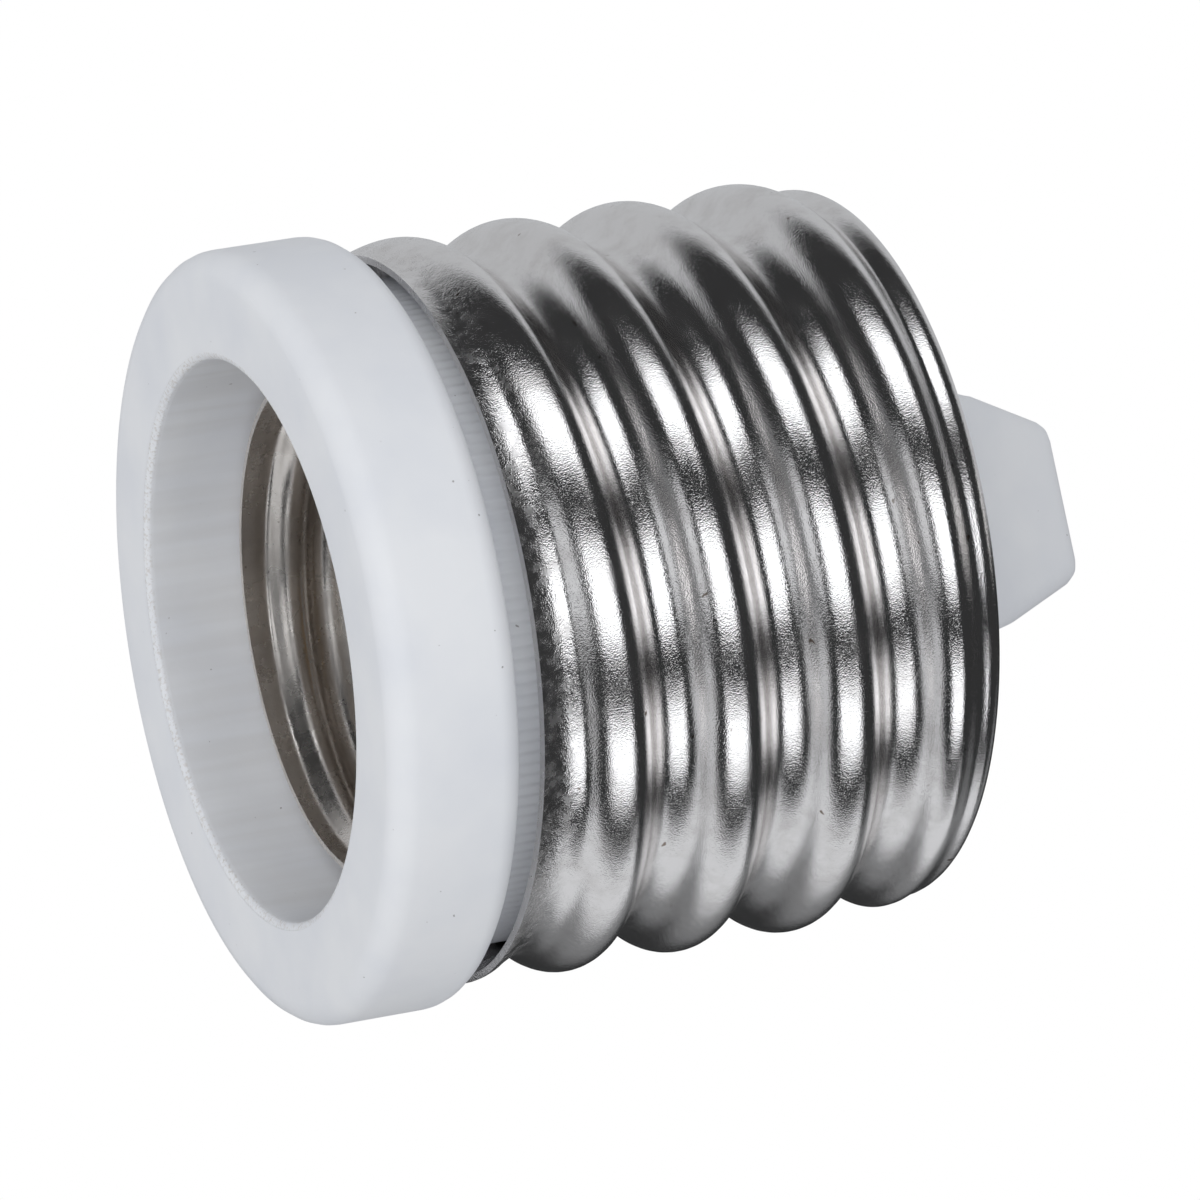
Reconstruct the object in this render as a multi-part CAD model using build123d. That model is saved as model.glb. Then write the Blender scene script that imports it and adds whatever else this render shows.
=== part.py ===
"""Lamp socket reducer: a medium screw lamp goes into its mouth, and it screws into a large lampholder.

Millimetres. +Z runs along the axis from the mouth to the nose, and the mouth's face lies on z = 0, so the
reducer stands on its collar. The nose's flat sides face along X and Y.
"""
import os
from math import sqrt

from build123d import *

# Outer screw shell, large thread, rolled from sheet
OUTER_SHEET = 0.35
OUTER_PITCH = 6.35
OUTER_CREST_RADIUS = 19.65
OUTER_DEPTH = 1.77
OUTER_ROOT_RADIUS = OUTER_CREST_RADIUS - OUTER_DEPTH
OUTER_FIRST_CREST = 4.4
OUTER_RIM_BEND = 0.9

# Porcelain: collar, bore, and the core that carries the shells
COLLAR_OVERHANG = 0.65
COLLAR_RADIUS = OUTER_CREST_RADIUS + COLLAR_OVERHANG
COLLAR_LENGTH = 7.15
COLLAR_FRONT_ROUND = 1.4
COLLAR_REAR_ROUND = 1.3
LIP_GAP = 1.45
OUTER_LIP_Z = COLLAR_LENGTH + LIP_GAP
CORE_GAP = 0.13
CORE_RADIUS = OUTER_ROOT_RADIUS - OUTER_SHEET - CORE_GAP
CORE_EDGE_ROUND = 0.4
CORE_WALL = 2.7
BORE_RADIUS = CORE_RADIUS - CORE_WALL
MOUTH_ROUND = 0.45
POCKET_DEPTH = 29.4
POCKET_CORNER_ROUND = 1.0
FLOOR_THICKNESS = 4.7
REAR_FACE_Z = POCKET_DEPTH + FLOOR_THICKNESS

# Inner screw shell, medium thread; its roots lie outside
INNER_SHEET = 0.3
INNER_PITCH = 3.629
BORE_GAP = 1.1
INNER_ROOT_RADIUS = BORE_RADIUS - BORE_GAP - INNER_SHEET
INNER_DEPTH = 1.1
INNER_LIP_DROP = 0.4
INNER_LIP_Z = 4.7
INNER_FIRST_ROOT = 4.2
INNER_FLOOR_BEND = 0.8

# Rivets that hold the inner shell's floor; RIVET_HOLE_GAP is also left round the contact rivet
SHELL_RIVET_RADIUS = 1.2
SHELL_RIVET_HEAD_RADIUS = 1.9
SHELL_RIVET_HEAD_HEIGHT = 0.7
RIVET_WALL_GAP = 0.6
RIVET_HOLE_GAP = 0.1
FLOOR_HOLE_MARGIN = 0.8
FLOOR_RADIUS = INNER_ROOT_RADIUS - INNER_LIP_DROP - INNER_FLOOR_BEND
SHELL_RIVET_OFFSET = FLOOR_RADIUS - SHELL_RIVET_HEAD_RADIUS - RIVET_WALL_GAP
FLOOR_HOLE_RADIUS = SHELL_RIVET_OFFSET - SHELL_RIVET_HEAD_RADIUS - FLOOR_HOLE_MARGIN

# Strap that joins the shells, under a rivet and under the outer shell's rim
STRAP_WIDTH = 4.6
STRAP_THICKNESS = 0.5
STRAP_EDGE_GAP = 0.7
STRAP_LAP = 1.3
STRAP_SIDE_GAP = 0.15
STRAP_INNER_REACH = SHELL_RIVET_OFFSET - STRAP_WIDTH / 2
STRAP_OUTER_REACH = CORE_RADIUS - STRAP_EDGE_GAP
OUTER_RIM_HOLE_RADIUS = STRAP_OUTER_REACH - STRAP_LAP

# Four-sided nose: a straight root, then a taper to the end
NOSE_STRAP_GAP = 0.85
NOSE_ROOT_WIDTH = 2 * (STRAP_INNER_REACH - NOSE_STRAP_GAP)
NOSE_ROOT_LENGTH = 5.3
NOSE_ROOT_ROUND = 1.4
NOSE_TAPER_LENGTH = 5.9
NOSE_END_WIDTH_X = 8.2
NOSE_END_WIDTH_Y = 7.6
NOSE_END_ROUND = 1.1
NOSE_EDGE_ROUND = 0.9
NOSE_TAPER_Z = REAR_FACE_Z + NOSE_ROOT_LENGTH
NOSE_END_Z = NOSE_TAPER_Z + NOSE_TAPER_LENGTH

# Centre contact: the rivet through the nose, and the leaf on the socket floor
CONTACT_RIVET_RADIUS = 1.3
CONTACT_HEAD_RADIUS = 2.3
CONTACT_HEAD_HEIGHT = 1.0
CONTACT_RECESS_DEPTH = 0.4
CONTACT_RECESS_GAP = 0.2
LEAF_WIDTH = 5.0
LEAF_THICKNESS = 0.4
LEAF_END_GAP = 1.7
LEAF_HALF_LENGTH = FLOOR_HOLE_RADIUS - LEAF_END_GAP
LEAF_RISE = 3.0
LEAF_BEND_RADIUS = 1.0

# Air left where rolled sheet lies on porcelain or under a rivet head
SEAT_GAP = 0.01


# How the rings of each shell fade out at its lip and at its far end; drops are below the crests, or inside the roots
OUTER_ROLL = {
    "sheet": OUTER_SHEET,
    "pitch": OUTER_PITCH,
    "depth": OUTER_DEPTH,
    "lip_z": OUTER_LIP_Z,
    "first_ring": OUTER_FIRST_CREST,
    "lip_drop": 0.35,
    "plain": -3.0,
    "lead_in": 9.0,
    "end_drop": 0.75,
    "run_out": 2.5,
    "bend": OUTER_RIM_BEND,
}
INNER_ROLL = {
    "sheet": INNER_SHEET,
    "pitch": INNER_PITCH,
    "depth": INNER_DEPTH,
    "lip_z": INNER_LIP_Z,
    "first_ring": INNER_FIRST_ROOT,
    "lip_drop": INNER_LIP_DROP,
    "plain": 0.6,
    "lead_in": 1.8,
    "end_drop": INNER_LIP_DROP,
    "run_out": 2.5,
    "bend": INNER_FLOOR_BEND,
}

# Corners of one ring, in pitches from its crest: many where the shell is seen, few elsewhere
SEEN_CORNERS = (-0.33, -0.17, -0.06, 0.06, 0.17, 0.33, 0.44, 0.56)
HIDDEN_CORNERS = (-0.37, -0.13, 0.13, 0.37)


def smooth_step(x):
    """Ease from 0 to 1 as x goes from 0 to 1."""
    x = min(max(x, 0.0), 1.0)
    return x * x * (3 - 2 * x)


def thread_drop(x, pitch, depth):
    """Depth below the crest at axial distance x from a crest: equal arcs on crest and root."""
    arc = ((pitch / 2) ** 2 + depth**2) / (4 * depth)
    x = abs((x + pitch / 2) % pitch - pitch / 2)
    if x <= pitch / 4:
        return arc - sqrt(arc**2 - x**2)
    return depth - arc + sqrt(arc**2 - (pitch / 2 - x) ** 2)


def rolled_side(corners, radius, end_z, roll):
    """One side of a rolled wall, as (radius, z): plain lip, rings that fade in and out, plain end; radius is over
    the crests, and corners gives each ring's corners in pitches from its crest.
    """
    pitch = roll["pitch"]
    crest_z = roll["lip_z"] + roll["first_ring"]
    first_z = roll["lip_z"] + roll["sheet"]
    last_z = end_z - 2 * roll["bend"]
    rings = range(int((first_z - crest_z) // pitch) - 1, int((last_z - crest_z) // pitch) + 2)
    side = [(radius - roll["lip_drop"], roll["lip_z"])]
    for z in [crest_z + (ring + corner) * pitch for ring in rings for corner in corners]:
        if first_z < z < last_z:
            lead = smooth_step((z - roll["lip_z"] - roll["plain"]) / roll["lead_in"])
            end = smooth_step((end_z - z) / roll["run_out"])
            drop = lead * thread_drop(z - crest_z, pitch, roll["depth"]) + (1 - lead) * roll["lip_drop"]
            side.append((radius - end * drop - (1 - end) * roll["end_drop"], z))
    return side + [(radius - roll["end_drop"], end_z)]


def turned(outline, rounds):
    """Solid of revolution from a closed (radius, z) outline, with some of its corners rounded."""
    face = make_face(Polyline(*outline, close=True))
    for (r, z), radius in rounds.items():
        corner = face.vertices().sort_by_distance((r, z, 0))[0]
        face = fillet(corner, radius)
    return revolve(Plane.XZ * face, Axis.Z)


def rolled_shell(corners, outer_radius, end_z, hole_radius, roll):
    """Screw shell turned from its section: a rolled wall whose far end bends in and runs flat to a hole."""
    inner_end_z = end_z - roll["sheet"]
    outside = rolled_side(corners, outer_radius, end_z, roll)
    inside = rolled_side(HIDDEN_CORNERS, outer_radius - roll["sheet"], inner_end_z, roll)
    flat = [(hole_radius, end_z), (hole_radius, inner_end_z)]
    half = roll["sheet"] / 2
    bends = {outside[-1]: roll["bend"] + half, inside[-1]: roll["bend"] - half}
    return turned(outside + flat + inside[::-1], bends)


def make_outer_shell():
    """Its turned-in rim lies on the porcelain's rear face."""
    end_z = REAR_FACE_Z + SEAT_GAP + OUTER_SHEET
    return rolled_shell(SEEN_CORNERS, OUTER_CREST_RADIUS, end_z, OUTER_RIM_HOLE_RADIUS, OUTER_ROLL)


def make_inner_shell():
    """Its floor lies on the porcelain, with a hole for the centre contact and one for each rivet."""
    end_z = POCKET_DEPTH - SEAT_GAP
    shell = rolled_shell(HIDDEN_CORNERS, INNER_ROOT_RADIUS + INNER_SHEET, end_z, FLOOR_HOLE_RADIUS, INNER_ROLL)
    for x, y in rivet_places():
        shell -= Pos(x, y, POCKET_DEPTH) * Cylinder(SHELL_RIVET_RADIUS + RIVET_HOLE_GAP, 4 * INNER_SHEET)
    return shell


def rivet_places():
    return [(0, SHELL_RIVET_OFFSET), (0, -SHELL_RIVET_OFFSET)]


def strap_outline(gap):
    """Strap seen along Z, from beside the nose out under the shell's rim, with a gap left round it."""
    length = STRAP_OUTER_REACH - STRAP_INNER_REACH + 2 * gap
    middle = (STRAP_OUTER_REACH + STRAP_INNER_REACH) / 2
    return Pos(0, middle) * RectangleRounded(STRAP_WIDTH + 2 * gap, length, STRAP_WIDTH / 5)


def make_nose():
    root = RectangleRounded(NOSE_ROOT_WIDTH, NOSE_ROOT_WIDTH, NOSE_ROOT_ROUND)
    end = RectangleRounded(NOSE_END_WIDTH_X, NOSE_END_WIDTH_Y, NOSE_END_ROUND)
    foot_z = REAR_FACE_Z - FLOOR_THICKNESS / 2
    straight = extrude(Pos(0, 0, foot_z) * root, NOSE_TAPER_Z - foot_z)
    taper = loft([Pos(0, 0, NOSE_TAPER_Z) * root, Pos(0, 0, NOSE_END_Z) * end])
    nose = straight + taper
    return fillet(nose.faces().sort_by(Axis.Z)[-1].edges(), NOSE_EDGE_ROUND)


def make_ceramic_body():
    outline = [
        (BORE_RADIUS, 0),
        (COLLAR_RADIUS, 0),
        (COLLAR_RADIUS, COLLAR_LENGTH),
        (CORE_RADIUS, COLLAR_LENGTH),
        (CORE_RADIUS, REAR_FACE_Z),
        (0, REAR_FACE_Z),
        (0, POCKET_DEPTH),
        (BORE_RADIUS, POCKET_DEPTH),
    ]
    rounds = {
        outline[0]: MOUTH_ROUND,
        outline[1]: COLLAR_FRONT_ROUND,
        outline[2]: COLLAR_REAR_ROUND,
        outline[4]: CORE_EDGE_ROUND,
        outline[7]: POCKET_CORNER_ROUND,
    }
    body = turned(outline, rounds) + make_nose()
    for x, y in rivet_places():
        body -= Pos(x, y, REAR_FACE_Z) * Cylinder(SHELL_RIVET_RADIUS + RIVET_HOLE_GAP, 4 * FLOOR_THICKNESS)
    body -= Pos(0, 0, NOSE_END_Z) * Cylinder(CONTACT_RIVET_RADIUS + RIVET_HOLE_GAP, 4 * (NOSE_END_Z - POCKET_DEPTH))
    body -= Pos(0, 0, NOSE_END_Z) * Cylinder(CONTACT_HEAD_RADIUS + CONTACT_RECESS_GAP, 2 * CONTACT_RECESS_DEPTH)
    return body - extrude(Pos(0, 0, REAR_FACE_Z - STRAP_THICKNESS) * strap_outline(STRAP_SIDE_GAP), STRAP_THICKNESS)


def domed_head(radius, height):
    """Rivet head that stands on z = 0 and bulges to +Z."""
    ball = (radius**2 + height**2) / (2 * height)
    return (Pos(0, 0, height - ball) * Sphere(ball)) & (Pos(0, 0, ball) * Box(4 * ball, 4 * ball, 2 * ball))


def make_rivet(radius, head_radius, head_height, low, high):
    """Rivet along Z with a shank from low to high and a domed head beyond each end."""
    shank = Pos(0, 0, (low + high) / 2) * Cylinder(radius, high - low)
    top = Pos(0, 0, high) * domed_head(head_radius, head_height)
    bottom = Pos(0, 0, low) * Rot(180, 0, 0) * domed_head(head_radius, head_height)
    return shank + top + bottom


def make_shell_rivets():
    low = POCKET_DEPTH - INNER_SHEET - 2 * SEAT_GAP
    rivet = make_rivet(SHELL_RIVET_RADIUS, SHELL_RIVET_HEAD_RADIUS, SHELL_RIVET_HEAD_HEIGHT, low, REAR_FACE_Z)
    return Compound([Pos(x, y) * rivet for x, y in rivet_places()])


def make_contact_rivet():
    low = POCKET_DEPTH - LEAF_THICKNESS
    high = NOSE_END_Z - CONTACT_RECESS_DEPTH
    return make_rivet(CONTACT_RIVET_RADIUS, CONTACT_HEAD_RADIUS, CONTACT_HEAD_HEIGHT, low, high)


def make_link_strap():
    strap = extrude(Pos(0, 0, REAR_FACE_Z - STRAP_THICKNESS) * strap_outline(0), STRAP_THICKNESS)
    return strap - Pos(0, SHELL_RIVET_OFFSET, REAR_FACE_Z) * Cylinder(
        SHELL_RIVET_RADIUS + RIVET_HOLE_GAP, 4 * STRAP_THICKNESS
    )


def make_contact_leaf():
    """Strip that lies on the floor under the rivet, turns up at one end and comes back over the middle."""
    floor = POCKET_DEPTH - LEAF_THICKNESS / 2
    top = POCKET_DEPTH - LEAF_RISE
    line = FilletPolyline(
        (-LEAF_HALF_LENGTH + LEAF_BEND_RADIUS, floor),
        (LEAF_HALF_LENGTH, floor),
        (LEAF_HALF_LENGTH, floor - LEAF_RISE + LEAF_BEND_RADIUS),
        (-LEAF_BEND_RADIUS, top - LEAF_BEND_RADIUS),
        (-LEAF_HALF_LENGTH + LEAF_BEND_RADIUS, top + LEAF_THICKNESS),
        radius=LEAF_BEND_RADIUS,
    )
    strip = make_face(offset(line, amount=LEAF_THICKNESS / 2, kind=Kind.ARC))
    leaf = extrude(Plane.XZ * strip, LEAF_WIDTH / 2, both=True)
    return leaf - Pos(0, 0, POCKET_DEPTH) * Cylinder(CONTACT_RIVET_RADIUS + RIVET_HOLE_GAP, 4 * LEAF_THICKNESS)


PARTS = {
    "ceramic_body": make_ceramic_body,
    "outer_screw_shell": make_outer_shell,
    "inner_screw_shell": make_inner_shell,
    "centre_contact_leaf": make_contact_leaf,
    "contact_rivet": make_contact_rivet,
    "shell_rivets": make_shell_rivets,
    "link_strap": make_link_strap,
}

os.makedirs("parts", exist_ok=True)
for name, make in PARTS.items():
    export_step(make(), f"parts/{name}.step")
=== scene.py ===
"""Looks of the lamp socket reducer: porcelain, rolled nickel shells, studio light and the photo's camera."""
import math

import bpy
from mathutils import Matrix, Vector


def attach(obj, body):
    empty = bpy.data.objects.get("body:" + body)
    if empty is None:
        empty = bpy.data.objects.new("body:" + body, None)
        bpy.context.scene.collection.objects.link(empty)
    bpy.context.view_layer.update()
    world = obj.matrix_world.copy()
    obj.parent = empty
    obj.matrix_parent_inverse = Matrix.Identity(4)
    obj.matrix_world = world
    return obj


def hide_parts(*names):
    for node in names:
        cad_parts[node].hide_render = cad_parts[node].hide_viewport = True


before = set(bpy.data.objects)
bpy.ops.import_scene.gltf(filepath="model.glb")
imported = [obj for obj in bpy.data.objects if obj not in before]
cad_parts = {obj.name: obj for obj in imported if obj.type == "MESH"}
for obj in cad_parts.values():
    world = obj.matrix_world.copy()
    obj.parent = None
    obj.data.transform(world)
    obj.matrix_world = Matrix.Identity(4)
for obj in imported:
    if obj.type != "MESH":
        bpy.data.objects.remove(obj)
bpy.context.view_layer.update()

MM = 0.001

# Sizes in millimetres, as in the part's source
COLLAR_RADIUS = 20.3
COLLAR_LENGTH = 7.15
COLLAR_FRONT_ROUND = 1.4
COLLAR_REAR_ROUND = 1.3
BORE_RADIUS = 14.7
MOUTH_ROUND = 0.45
CORE_RADIUS = 17.4
CORE_EDGE_ROUND = 0.4
REAR_FACE_Z = 34.1
POCKET_DEPTH = 29.4
POCKET_CORNER_ROUND = 1.0
NOSE_ROOT_WIDTH = 12.9
NOSE_TAPER_Z = 39.4
NOSE_END_Z = 45.3
NOSE_END_WIDTH_X = 8.2
NOSE_END_WIDTH_Y = 7.6
NOSE_ROUND = 1.0
NOSE_FOOT_DEPTH = 1.5
NOSE_EDGE_ANGLE = 12

SLOT_WIDTH = 4.9
SLOT_LENGTH = 9.7
SLOT_MIDDLE_Y = 12.0
SLOT_DEPTH = 0.5
SLOT_ROUND = 0.92

OUTER_SHEET = 0.35
OUTER_PITCH = 6.35
OUTER_CREST_RADIUS = 19.65
OUTER_DEPTH = 1.77
OUTER_LIP_Z = 8.6
OUTER_LIP_DROP = 0.35
OUTER_LEAD_IN = 6.0
OUTER_RIM_DROP = 0.75
OUTER_RUN_OUT = 2.0
OUTER_RIM_BEND = 0.9
OUTER_RIM_HOLE_RADIUS = 15.4
OUTER_START_ANGLE = 51.0

INNER_SHEET = 0.3
INNER_PITCH = 3.629
INNER_MINOR_RADIUS = 12.2
INNER_DEPTH = 1.1
INNER_LIP_Z = 4.7
INNER_LIP_RADIUS = 12.9
INNER_PLAIN_BAND = 0.6
INNER_LEAD_IN = 1.6
INNER_RUN_OUT = 2.4
INNER_FLOOR_BEND = 0.8
INNER_FLOOR_HOLE_RADIUS = 6.9
INNER_START_ANGLE = 96.0

RIB_COUNT = 176
RIB_HEIGHT = 0.13
RIB_FOOT_DEPTH = 0.2
RIB_START_Z = COLLAR_LENGTH - 0.3
RIB_END_Z = 13.0

FLAT_STEP = 0.5
LONGEST_FACE = 1.5

# Shapes


def deselect_all():
    for o in bpy.context.selected_objects:
        o.select_set(False)


def smooth_step(x):
    x = min(max(x, 0.0), 1.0)
    return x * x * (3 - 2 * x)


def thread_drop(x, pitch, depth):
    """Depth under the crest at a distance x along the axis; crest and root are equal arcs."""
    arc = ((pitch / 2) ** 2 + depth**2) / (4 * depth)
    x = abs((x + pitch / 2) % pitch - pitch / 2)
    if x <= pitch / 4:
        return arc - math.sqrt(arc**2 - x**2)
    return depth - arc + math.sqrt(arc**2 - (pitch / 2 - x) ** 2)


def spread(start, end, step):
    count = max(2, round((end - start) / step))
    return [start + (end - start) * i / count for i in range(count + 1)]


def turned_in_edge(radius, z, bend, hole_radius, step):
    arc = [i / 8 * math.pi / 2 for i in range(1, 9)]
    corner = [(radius - bend + bend * math.cos(a), z - bend + bend * math.sin(a)) for a in arc]
    flat = spread(0, radius - bend - hole_radius, step)
    return corner + [(radius - bend - r, z) for r in flat[1:]]


def outer_path(angle):
    """Middle of the outer sheet at one angle: lip, helical thread, run-out and turned-in rim."""
    crest = OUTER_CREST_RADIUS - OUTER_SHEET / 2
    flat_z = REAR_FACE_Z + OUTER_SHEET / 2
    wall_end = flat_z - OUTER_RIM_BEND
    crest_z = OUTER_LIP_Z + OUTER_PITCH * (angle - OUTER_START_ANGLE) / 360
    points = []
    for z in spread(OUTER_LIP_Z, wall_end, OUTER_PITCH / 26):
        lead = smooth_step((z - OUTER_LIP_Z + OUTER_LEAD_IN / 2) / (1.5 * OUTER_LEAD_IN))
        end = smooth_step((wall_end - z) / OUTER_RUN_OUT)
        drop = thread_drop(z - crest_z, OUTER_PITCH, OUTER_DEPTH)
        drop = lead * drop + (1 - lead) * OUTER_LIP_DROP
        points.append((crest - end * drop - (1 - end) * OUTER_RIM_DROP, z))
    return points + turned_in_edge(points[-1][0], flat_z, OUTER_RIM_BEND, OUTER_RIM_HOLE_RADIUS, FLAT_STEP)


def inner_path(angle):
    """Middle of the inner sheet at one angle: plain lip, helical thread and turned-in floor."""
    major = INNER_MINOR_RADIUS + INNER_DEPTH + INNER_SHEET / 2
    plain = INNER_LIP_RADIUS + INNER_SHEET / 2
    flat_z = POCKET_DEPTH - INNER_SHEET / 2
    wall_end = flat_z - INNER_FLOOR_BEND
    thread_z = INNER_LIP_Z + INNER_PLAIN_BAND
    crest_z = thread_z + INNER_PITCH * (angle - INNER_START_ANGLE) / 360
    points = []
    for z in spread(INNER_LIP_Z, wall_end, INNER_PITCH / 16):
        cover = smooth_step((z - thread_z) / INNER_LEAD_IN) * smooth_step((wall_end - z) / INNER_RUN_OUT)
        drop = thread_drop(z - crest_z, INNER_PITCH, INNER_DEPTH)
        points.append((cover * (major - drop) + (1 - cover) * plain, z))
    return points + turned_in_edge(points[-1][0], flat_z, INNER_FLOOR_BEND, INNER_FLOOR_HOLE_RADIUS, FLAT_STEP)


def wrapped_grid(name, path_at, stations):
    """Grid wrapped round Z: column angles from 0 to 360, each column laid along path_at(angle), in millimetres."""
    rows = len(path_at(0.0))
    deselect_all()
    bpy.ops.mesh.primitive_grid_add(x_subdivisions=stations, y_subdivisions=rows - 1, size=2)
    obj = bpy.context.object
    obj.name = obj.data.name = name
    paths = {}
    for v in obj.data.vertices:
        column = round((v.co.x + 1) / 2 * stations)
        row = round((v.co.y + 1) / 2 * (rows - 1))
        angle = column % stations * 360 / stations
        if angle not in paths:
            paths[angle] = path_at(angle)
        r, z = paths[angle][row]
        turn = math.radians(angle)
        v.co = (r * math.cos(turn) * MM, r * math.sin(turn) * MM, z * MM)
    bpy.ops.object.mode_set(mode="EDIT")
    bpy.ops.mesh.select_all(action="SELECT")
    bpy.ops.mesh.remove_doubles(threshold=1e-7)
    bpy.ops.mesh.normals_make_consistent(inside=False)
    bpy.ops.object.mode_set(mode="OBJECT")
    return obj


def rolled_sheet(name, path_at, sheet, stations):
    obj = wrapped_grid(name, path_at, stations)
    solid = obj.modifiers.new("sheet", "SOLIDIFY")
    solid.thickness = sheet * MM
    solid.offset = 0
    solid.use_even_offset = True
    bpy.ops.object.modifier_apply(modifier=solid.name)
    return obj


def rounded(points, rounds, steps=6):
    """Corners of a profile eased by arcs; rounds gives the radius of the corners that have one."""
    out = []
    count = len(points)
    for i, p in enumerate(points):
        radius = rounds.get(i, 0)
        if not radius:
            out.append(p)
            continue
        here = Vector(p)
        before = (Vector(points[i - 1]) - here).normalized()
        after = (Vector(points[(i + 1) % count]) - here).normalized()
        half = before.angle(after) / 2
        reach = radius / math.tan(half)
        centre = here + (before + after).normalized() * (radius / math.sin(half))
        start = here + before * reach - centre
        end = here + after * reach - centre
        for k in range(steps + 1):
            spoke = start.lerp(end, k / steps)
            out.append(tuple(centre + spoke * (radius / spoke.length)))
    return out


def split_long(points, longest):
    """Profile with extra points along its long straight stretches."""
    out = [points[0]]
    for a, b in zip(points, points[1:]):
        a, b = Vector(a), Vector(b)
        count = max(1, math.ceil((b - a).length / longest))
        out += [tuple(a.lerp(b, k / count)) for k in range(1, count + 1)]
    return out


def shade(obj, degrees=35):
    deselect_all()
    obj.select_set(True)
    bpy.context.view_layer.objects.active = obj
    bpy.ops.object.shade_smooth_by_angle(angle=math.radians(degrees))


def join(parts, name):
    deselect_all()
    for o in parts:
        o.select_set(True)
    bpy.context.view_layer.objects.active = parts[0]
    bpy.ops.object.join()
    parts[0].name = parts[0].data.name = name
    return parts[0]


outer_shell = rolled_sheet("outer_shell", outer_path, OUTER_SHEET, 288)
inner_shell = rolled_sheet("inner_shell", inner_path, INNER_SHEET, 240)

body_profile = rounded(
    [
        (0.0, POCKET_DEPTH),
        (BORE_RADIUS, POCKET_DEPTH),
        (BORE_RADIUS, 0.0),
        (COLLAR_RADIUS, 0.0),
        (COLLAR_RADIUS, COLLAR_LENGTH),
        (CORE_RADIUS, COLLAR_LENGTH),
        (CORE_RADIUS, REAR_FACE_Z),
        (0.0, REAR_FACE_Z),
    ],
    {
        1: POCKET_CORNER_ROUND,
        2: MOUTH_ROUND,
        3: COLLAR_FRONT_ROUND,
        4: COLLAR_REAR_ROUND,
        6: CORE_EDGE_ROUND,
    },
)
body_profile = split_long(body_profile, LONGEST_FACE)
turned_body = wrapped_grid("ceramic", lambda angle: body_profile, 288)

# Slot in the rear face that takes the link strap
deselect_all()
bpy.ops.mesh.primitive_plane_add(size=1)
slot = bpy.context.object
for v in slot.data.vertices:
    v.co = (
        v.co.x * SLOT_WIDTH * MM,
        (SLOT_MIDDLE_Y + v.co.y * SLOT_LENGTH) * MM,
        (REAR_FACE_Z - SLOT_DEPTH) * MM,
    )
bpy.ops.object.mode_set(mode="EDIT")
bpy.ops.mesh.select_all(action="SELECT")
bpy.ops.mesh.bevel(offset=SLOT_ROUND * MM, segments=6, affect="VERTICES")
bpy.ops.mesh.select_all(action="SELECT")
bpy.ops.mesh.extrude_region_move(TRANSFORM_OT_translate={"value": (0, 0, 2 * SLOT_DEPTH * MM)})
bpy.ops.mesh.select_all(action="SELECT")
bpy.ops.mesh.normals_make_consistent(inside=False)
bpy.ops.object.mode_set(mode="OBJECT")
deselect_all()
turned_body.select_set(True)
bpy.context.view_layer.objects.active = turned_body
cut = turned_body.modifiers.new("cut", "BOOLEAN")
cut.operation = "DIFFERENCE"
cut.solver = "EXACT"
cut.object = slot
bpy.ops.object.modifier_apply(modifier=cut.name)
bpy.data.objects.remove(slot)


def rib_path(angle):
    crown = CORE_RADIUS + RIB_HEIGHT * (0.5 + 0.5 * math.cos(math.radians(angle * RIB_COUNT)))
    foot = CORE_RADIUS - RIB_FOOT_DEPTH
    return [(foot, RIB_START_Z), (crown, RIB_START_Z), (crown, RIB_END_Z), (foot, RIB_END_Z)]


neck_ribs = wrapped_grid("neck_ribs", rib_path, RIB_COUNT * 6)

deselect_all()
bpy.ops.mesh.primitive_cube_add(size=1)
nose = bpy.context.object
for v in nose.data.vertices:
    v.co = (
        v.co.x * NOSE_ROOT_WIDTH * MM,
        v.co.y * NOSE_ROOT_WIDTH * MM,
        (NOSE_TAPER_Z if v.co.z > 0 else REAR_FACE_Z - NOSE_FOOT_DEPTH) * MM,
    )
bpy.ops.object.mode_set(mode="EDIT")
bpy.ops.mesh.select_mode(type="FACE")
bpy.ops.mesh.select_all(action="DESELECT")
bpy.ops.object.mode_set(mode="OBJECT")
for p in nose.data.polygons:
    p.select = p.normal.z > 0.9
bpy.ops.object.mode_set(mode="EDIT")
bpy.ops.mesh.extrude_region_move(
    TRANSFORM_OT_translate={"value": (0, 0, (NOSE_END_Z - NOSE_TAPER_Z) * MM)}
)
bpy.ops.transform.resize(
    value=(NOSE_END_WIDTH_X / NOSE_ROOT_WIDTH, NOSE_END_WIDTH_Y / NOSE_ROOT_WIDTH, 1),
    center_override=(0, 0, NOSE_END_Z * MM),
)
bpy.ops.object.mode_set(mode="OBJECT")
edge = nose.modifiers.new("edge", "BEVEL")
edge.width = NOSE_ROUND * MM
edge.segments = 6
edge.limit_method = "ANGLE"
edge.angle_limit = math.radians(NOSE_EDGE_ANGLE)
bpy.ops.object.modifier_apply(modifier=edge.name)

ceramic = join([turned_body, neck_ribs, nose], "ceramic")
for piece in (outer_shell, inner_shell, ceramic):
    shade(piece)

# Materials


def new_material(name):
    m = bpy.data.materials.new(name)
    m.use_nodes = True
    tree = m.node_tree
    return m, tree, tree.nodes["Principled BSDF"]


def node(tree, kind, **sockets):
    n = tree.nodes.new(kind)
    for k, v in sockets.items():
        n.inputs[k.replace("_", " ")].default_value = v
    return n


def noise(tree, coords, scale, detail=3.0, rough=0.5):
    n = node(tree, "ShaderNodeTexNoise", Scale=scale, Detail=detail, Roughness=rough)
    tree.links.new(coords.outputs["Object"], n.inputs["Vector"])
    return n


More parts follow.
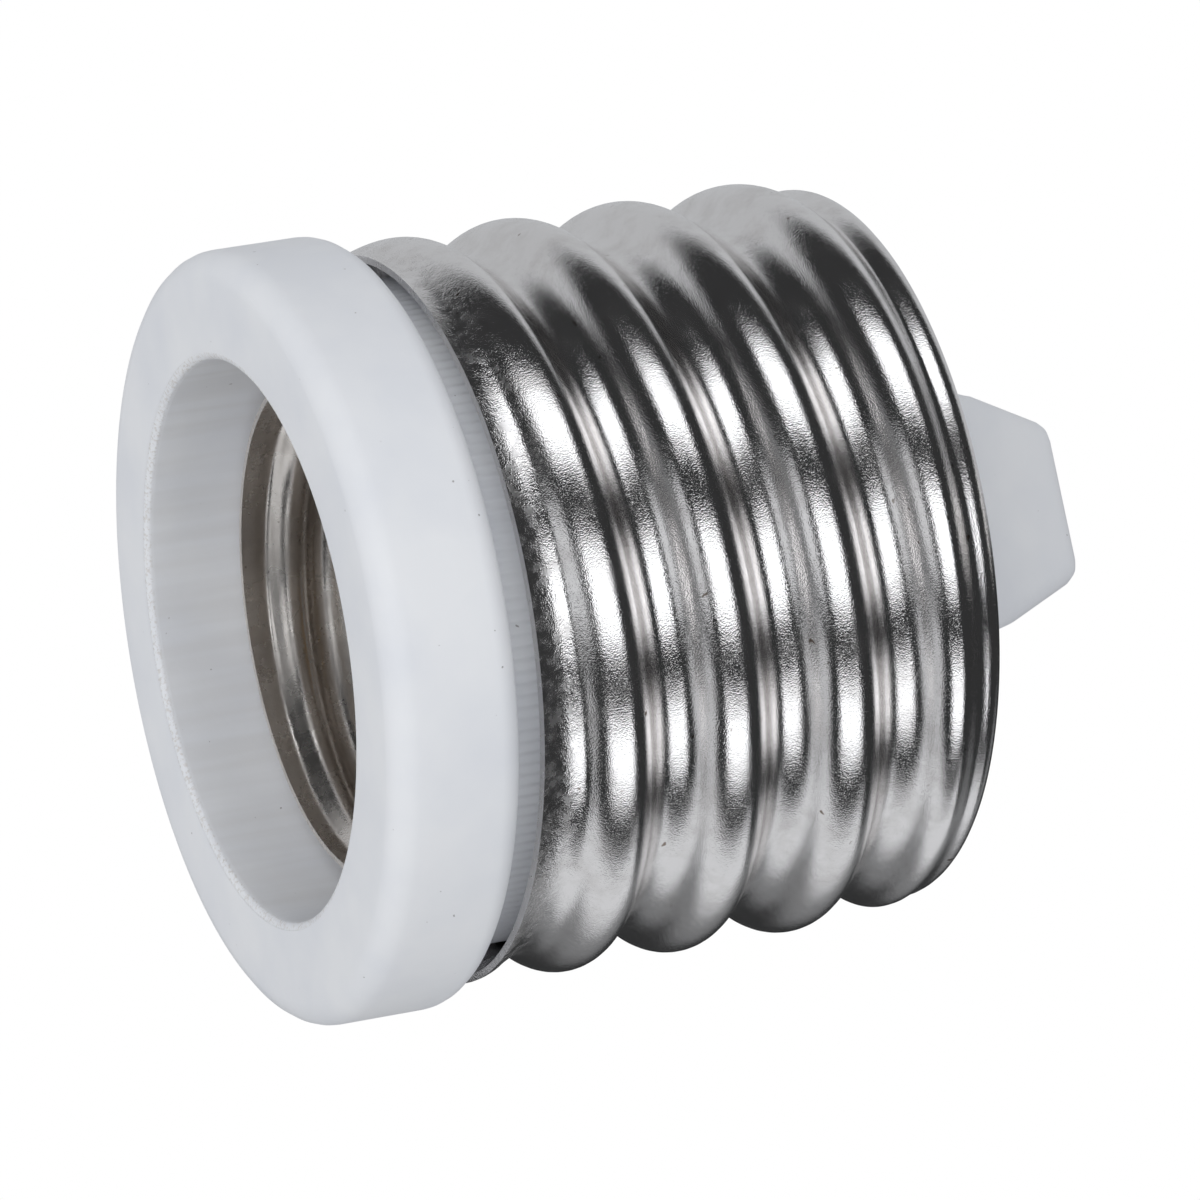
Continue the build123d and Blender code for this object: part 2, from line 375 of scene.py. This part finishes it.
def ramp(tree, source, stops):
    r = tree.nodes.new("ShaderNodeValToRGB")
    while len(r.color_ramp.elements) < len(stops):
        r.color_ramp.elements.new(0.5)
    for e, (pos, col) in zip(r.color_ramp.elements, stops):
        e.position = pos
        e.color = (*col, 1)
    tree.links.new(source, r.inputs["Fac"])
    return r


def mix_colour(tree, factor, a, b):
    m = tree.nodes.new("ShaderNodeMix")
    m.data_type = "RGBA"
    tree.links.new(factor, m.inputs["Factor"])
    for value, key in ((a, 6), (b, 7)):
        if isinstance(value, tuple):
            m.inputs[key].default_value = (*value, 1)
        else:
            tree.links.new(value, m.inputs[key])
    return m.outputs[2]


def stretched(tree, coords, scale):
    """Object coordinates scaled by axis, so that noise runs long along the axis with the smallest scale."""
    m = tree.nodes.new("ShaderNodeMapping")
    m.inputs["Scale"].default_value = scale
    tree.links.new(coords.outputs["Object"], m.inputs["Vector"])
    return m.outputs["Vector"]


def radius_from_axis(tree, coords):
    flat = tree.nodes.new("ShaderNodeVectorMath")
    flat.operation = "MULTIPLY"
    flat.inputs[1].default_value = (1, 1, 0)
    tree.links.new(coords.outputs["Object"], flat.inputs[0])
    length = tree.nodes.new("ShaderNodeVectorMath")
    length.operation = "LENGTH"
    tree.links.new(flat.outputs["Vector"], length.inputs[0])
    return length.outputs["Value"]


def band(tree, value, low, high, soft):
    """1 where value lies between low and high, with soft edges."""
    masks = []
    for start, end in ((low - soft, low), (high + soft, high)):
        r = tree.nodes.new("ShaderNodeMapRange")
        r.inputs["From Min"].default_value = start
        r.inputs["From Max"].default_value = end
        tree.links.new(value, r.inputs["Value"])
        masks.append(r.outputs["Result"])
    return times(tree, *masks)


def times(tree, a, b):
    m = tree.nodes.new("ShaderNodeMath")
    m.operation = "MULTIPLY"
    for i, value in enumerate((a, b)):
        if isinstance(value, float):
            m.inputs[i].default_value = value
        else:
            tree.links.new(value, m.inputs[i])
    return m.outputs[0]


def bumped(tree, bsdf, layers):
    """Chain of bumps: each layer is (height, strength, distance)."""
    before = None
    for height, strength, distance in layers:
        bump = node(tree, "ShaderNodeBump", Strength=strength, Distance=distance)
        tree.links.new(height, bump.inputs["Height"])
        if before:
            tree.links.new(before, bump.inputs["Normal"])
        before = bump.outputs["Normal"]
    tree.links.new(before, bsdf.inputs["Normal"])


def porcelain_material():
    """White unglazed porcelain: faint clouds, few specks, drawn streaks along the bore, a gritty mouth edge."""
    m, t, bsdf = new_material("porcelain")
    c = t.nodes.new("ShaderNodeTexCoord")
    radius = radius_from_axis(t, c)
    cloud = noise(t, c, 160, 3)
    base = ramp(t, cloud.outputs["Fac"], [(0.35, (0.80, 0.82, 0.86)), (0.65, (0.86, 0.875, 0.90))])
    colour = base.outputs["Color"]
    streaks = noise(t, c, 900, 2, 0.5)
    t.links.new(stretched(t, c, (1, 1, 0.06)), streaks.inputs["Vector"])
    drawn = ramp(t, streaks.outputs["Fac"], [(0.38, (0, 0, 0)), (0.62, (1, 1, 1))])
    in_bore = band(t, radius, BORE_RADIUS * MM - 0.001, BORE_RADIUS * MM, 0.0001)
    colour = mix_colour(t, times(t, times(t, drawn.outputs["Color"], in_bore), 0.22), colour, (0.66, 0.65, 0.64))
    grit = noise(t, c, 5200, 3, 0.6)
    chips = ramp(t, grit.outputs["Fac"], [(0.50, (0, 0, 0)), (0.62, (1, 1, 1))])
    at_edge = band(t, radius, (BORE_RADIUS + 0.06) * MM, (BORE_RADIUS + 0.4) * MM, 0.00005)
    colour = mix_colour(t, times(t, times(t, chips.outputs["Color"], at_edge), 0.45), colour, (0.55, 0.50, 0.45))
    specks = noise(t, c, 2600, 1, 0.4)
    mask = ramp(t, specks.outputs["Fac"], [(0.80, (0, 0, 0)), (0.83, (1, 1, 1))])
    colour = mix_colour(t, mask.outputs["Color"], colour, (0.40, 0.39, 0.40))
    t.links.new(colour, bsdf.inputs["Base Color"])
    bsdf.inputs["Roughness"].default_value = 0.55
    bsdf.inputs["Specular IOR Level"].default_value = 0.3
    grain = noise(t, c, 2600, 4, 0.6)
    bumped(t, bsdf, [
        (grain.outputs["Fac"], 0.12, 0.00006),
        (times(t, grit.outputs["Fac"], at_edge), 0.5, 0.0001),
    ])
    return m


def nickel_material(name, colour, dark, roughness, grain_strength, worn_to):
    """Thin nickel plate over sheet that took the grain of the rolls, with dull clouds, a few brown spots and
    scuffs from the lip up to z = worn_to.
    """
    m, t, bsdf = new_material(name)
    c = t.nodes.new("ShaderNodeTexCoord")
    stain = noise(t, c, 420, 4, 0.65)
    base = ramp(t, stain.outputs["Fac"], [(0.3, dark), (0.55, colour)])
    spots = noise(t, c, 1300, 2, 0.5)
    rust = ramp(t, spots.outputs["Fac"], [(0.735, (0, 0, 0)), (0.78, (1, 1, 1))])
    spotted = mix_colour(t, times(t, rust.outputs["Color"], 0.8), base.outputs["Color"], (0.16, 0.10, 0.06))
    t.links.new(spotted, bsdf.inputs["Base Color"])
    bsdf.inputs["Metallic"].default_value = 1
    z = t.nodes.new("ShaderNodeSeparateXYZ")
    t.links.new(c.outputs["Object"], z.inputs["Vector"])
    scuffs = noise(t, c, 1500, 3, 0.65)
    scuffed = ramp(t, scuffs.outputs["Fac"], [(0.42, (0, 0, 0)), (0.6, (1, 1, 1))])
    at_lip = times(t, scuffed.outputs["Color"], band(t, z.outputs["Z"], 0.0, worn_to - 0.0012, 0.0012))
    dull = ramp(t, stain.outputs["Fac"], [(0.35, (roughness * 1.8,) * 3), (0.6, (roughness,) * 3)])
    worn = mix_colour(t, times(t, at_lip, 0.7), dull.outputs["Color"], (0.34, 0.34, 0.34))
    t.links.new(worn, bsdf.inputs["Roughness"])
    grain = noise(t, c, 12000, 1, 0.6)
    dents = noise(t, c, 900, 2, 0.5)
    bumped(t, bsdf, [
        (dents.outputs["Fac"], 0.12, 0.00006),
        (times(t, scuffs.outputs["Fac"], at_lip), 0.2, 0.00005),
        (grain.outputs["Fac"], grain_strength, 0.00003),
    ])
    return m


def brass_material():
    m, _, bsdf = new_material("contact_brass")
    bsdf.inputs["Base Color"].default_value = (0.72, 0.53, 0.27, 1)
    bsdf.inputs["Metallic"].default_value = 1
    bsdf.inputs["Roughness"].default_value = 0.28
    return m


porcelain = porcelain_material()
nickel = nickel_material("nickel", (0.82, 0.80, 0.79), (0.74, 0.715, 0.70), 0.11, 0.42, 0.0115)
inner_nickel = nickel_material("inner_nickel", (0.84, 0.79, 0.74), (0.74, 0.69, 0.64), 0.2, 0.3, 0.0065)
brass = brass_material()


def dress(obj, material):
    obj.data.materials.clear()
    obj.data.materials.append(material)


dress(ceramic, porcelain)
dress(outer_shell, nickel)
dress(inner_shell, inner_nickel)
for cad_node in ("centre_contact_leaf", "contact_rivet", "shell_rivets", "link_strap"):
    dress(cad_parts[cad_node], brass)

replaced = ((ceramic, "ceramic_body"), (outer_shell, "outer_screw_shell"), (inner_shell, "inner_screw_shell"))
for piece, cad_node in replaced:
    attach(piece, "root")
    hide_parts(cad_node)

# Camera: the part's axis leaves the lens by TILT and leans by LEAN in the picture

LEAN = math.radians(9.40)
TILT = math.radians(21.17)
TURN = math.radians(-6.4)
MOUTH_PIXEL = (247.6, 642.0)
PIXELS_PER_MM = 19.344
DISTANCE = 570.0
IMAGE = 1200
SENSOR = 36

axis = Vector((math.cos(LEAN) * math.cos(TILT), -math.sin(LEAN) * math.cos(TILT), math.sin(TILT)))
low_side = Vector((math.sin(LEAN), math.cos(LEAN), 0))
far_side = axis.cross(low_side)
part_x = math.cos(TURN) * low_side + math.sin(TURN) * far_side
part_y = -math.sin(TURN) * low_side + math.cos(TURN) * far_side
mouth_right, mouth_down = ((pixel - IMAGE / 2) / PIXELS_PER_MM for pixel in MOUTH_PIXEL)
mouth = Vector((mouth_right, mouth_down, DISTANCE))


def in_part(v):
    """A direction or offset given as right, down and forward from the camera, in the part's axes."""
    return Vector((v.dot(part_x), v.dot(part_y), v.dot(axis)))


right, down, forward = (in_part(Vector(v)) for v in ((1, 0, 0), (0, 1, 0), (0, 0, 1)))
camera_data = bpy.data.cameras.new("camera")
camera_data.sensor_width = SENSOR
camera_data.lens = PIXELS_PER_MM * DISTANCE / IMAGE * SENSOR
camera_data.clip_start = 0.01
camera_data.clip_end = 20
camera = bpy.data.objects.new("camera", camera_data)
bpy.context.scene.collection.objects.link(camera)
place = Matrix.Identity(4)
for column, v in enumerate((right, -down, -forward)):
    for row in range(3):
        place[row][column] = v[row]
place.translation = -in_part(mouth) * MM
camera.matrix_world = place
bpy.context.scene.camera = camera

# Stage: floor that only the camera sees, and only from above; white world; soft boxes and dark cards


def stage_material(name, colour, strength):
    m = bpy.data.materials.new(name)
    m.use_nodes = True
    t = m.node_tree
    t.nodes.clear()
    out = t.nodes.new("ShaderNodeOutputMaterial")
    e = node(t, "ShaderNodeEmission", Color=(*colour, 1), Strength=strength)
    t.links.new(e.outputs["Emission"], out.inputs["Surface"])
    return m


deselect_all()
bpy.ops.mesh.primitive_plane_add(size=1.2, location=(0, 0, -0.0003))
floor = bpy.context.object
floor.name = "floor"
floor_mat = bpy.data.materials.new("floor")
floor_mat.use_nodes = True
t = floor_mat.node_tree
t.nodes.clear()
out = t.nodes.new("ShaderNodeOutputMaterial")
paper = node(t, "ShaderNodeBsdfDiffuse", Color=(0.9, 0.9, 0.9, 1))
glow = node(t, "ShaderNodeEmission", Color=(1, 1, 1, 1), Strength=0.45)
white_paper = t.nodes.new("ShaderNodeAddShader")
t.links.new(paper.outputs[0], white_paper.inputs[0])
t.links.new(glow.outputs[0], white_paper.inputs[1])
clear = t.nodes.new("ShaderNodeBsdfTransparent")
face = t.nodes.new("ShaderNodeNewGeometry")
path = t.nodes.new("ShaderNodeLightPath")
seen = t.nodes.new("ShaderNodeMath")
seen.operation = "SUBTRACT"
seen.use_clamp = True
t.links.new(path.outputs["Is Camera Ray"], seen.inputs[0])
t.links.new(face.outputs["Backfacing"], seen.inputs[1])
mix = t.nodes.new("ShaderNodeMixShader")
t.links.new(seen.outputs[0], mix.inputs["Fac"])
t.links.new(clear.outputs[0], mix.inputs[1])
t.links.new(white_paper.outputs[0], mix.inputs[2])
t.links.new(mix.outputs[0], out.inputs["Surface"])
dress(floor, floor_mat)

world = bpy.data.worlds.new("world")
bpy.context.scene.world = world
world.use_nodes = True
t = world.node_tree
t.nodes.clear()
out = t.nodes.new("ShaderNodeOutputWorld")
path = t.nodes.new("ShaderNodeLightPath")
shown = t.nodes.new("ShaderNodeMath")
shown.operation = "MAXIMUM"
t.links.new(path.outputs["Is Camera Ray"], shown.inputs[0])
t.links.new(path.outputs["Is Glossy Ray"], shown.inputs[1])
ambient = node(t, "ShaderNodeBackground", Color=(0.97, 0.98, 1, 1), Strength=0.58)
white = node(t, "ShaderNodeBackground", Color=(1, 1, 1, 1), Strength=1.0)
mix = t.nodes.new("ShaderNodeMixShader")
t.links.new(shown.outputs[0], mix.inputs["Fac"])
t.links.new(ambient.outputs[0], mix.inputs[1])
t.links.new(white.outputs[0], mix.inputs[2])
t.links.new(mix.outputs[0], out.inputs["Surface"])

MIDDLE = Vector((0, 0, 21.0 * MM))


def around(roll, lean):
    """Direction from the part: roll turns about its axis from the camera's side downwards, lean tips to the nose."""
    side = -math.cos(math.radians(roll)) * far_side + math.sin(math.radians(roll)) * low_side
    return in_part(math.cos(math.radians(lean)) * side + math.sin(math.radians(lean)) * axis)


def lamp(name, roll, lean, distance, size, radiance):
    """Square area light that looks at the part and lights the porcelain; the metal shows the cards instead."""
    data = bpy.data.lights.new(name, "AREA")
    data.size = size
    data.energy = radiance * math.pi * size**2
    obj = bpy.data.objects.new(name, data)
    bpy.context.scene.collection.objects.link(obj)
    back = around(roll, lean)
    facing = back.to_track_quat("Z", "Y").to_matrix().to_4x4()
    obj.matrix_world = Matrix.Translation(MIDDLE + back * distance) @ facing
    obj.visible_camera = False
    obj.visible_glossy = False
    return obj


def card(name, rolls, leans, distance, grey):
    """Curved card round the part that only reflections show; grey over 1 is a soft box."""
    deselect_all()
    bpy.ops.mesh.primitive_grid_add(x_subdivisions=24, y_subdivisions=24, size=2)
    obj = bpy.context.object
    obj.name = name
    for v in obj.data.vertices:
        roll = rolls[0] + (rolls[1] - rolls[0]) * (v.co.x + 1) / 2
        lean = leans[0] + (leans[1] - leans[0]) * (v.co.y + 1) / 2
        v.co = MIDDLE + around(roll, lean) * distance
    dress(obj, stage_material(name, (0.94, 0.965, 1), grey))
    obj.visible_camera = False
    obj.visible_diffuse = False
    obj.visible_shadow = False
    obj.visible_transmission = False
    return obj


lamp("lamp_side", -30, 12, 0.8, 0.6, 0.28)
lamp("lamp_mouth", -8, -38, 0.8, 0.6, 1.75)
lamp("lamp_low", 50, -55, 0.8, 0.5, 0.48)

card("box_top", (-63, -36), (-22, 33), 0.8, 1.7)
card("box_front", (-11, 20), (-22, 33), 0.8, 1.7)
card("box_low", (42, 68), (-22, 33), 0.8, 1.5)
card("box_bottom", (90, 124), (-45, 40), 0.8, 0.75)
card("box_mouth", (-26, 24), (-62, -36), 0.8, 0.75)
card("box_lip", (44, 124), (-66, -46), 0.8, 0.6)
card("grey_mouth", (-180, 180), (-89, -62), 0.85, 0.2)
card("grey_low", (124, 148), (-60, 60), 0.85, 0.22)
card("dark_side", (-112, 180), (-89, 84), 0.9, 0.036)
card("grey_top", (-180, -112), (-89, 84), 0.9, 0.56)

bpy.context.scene.view_settings.view_transform = "Standard"
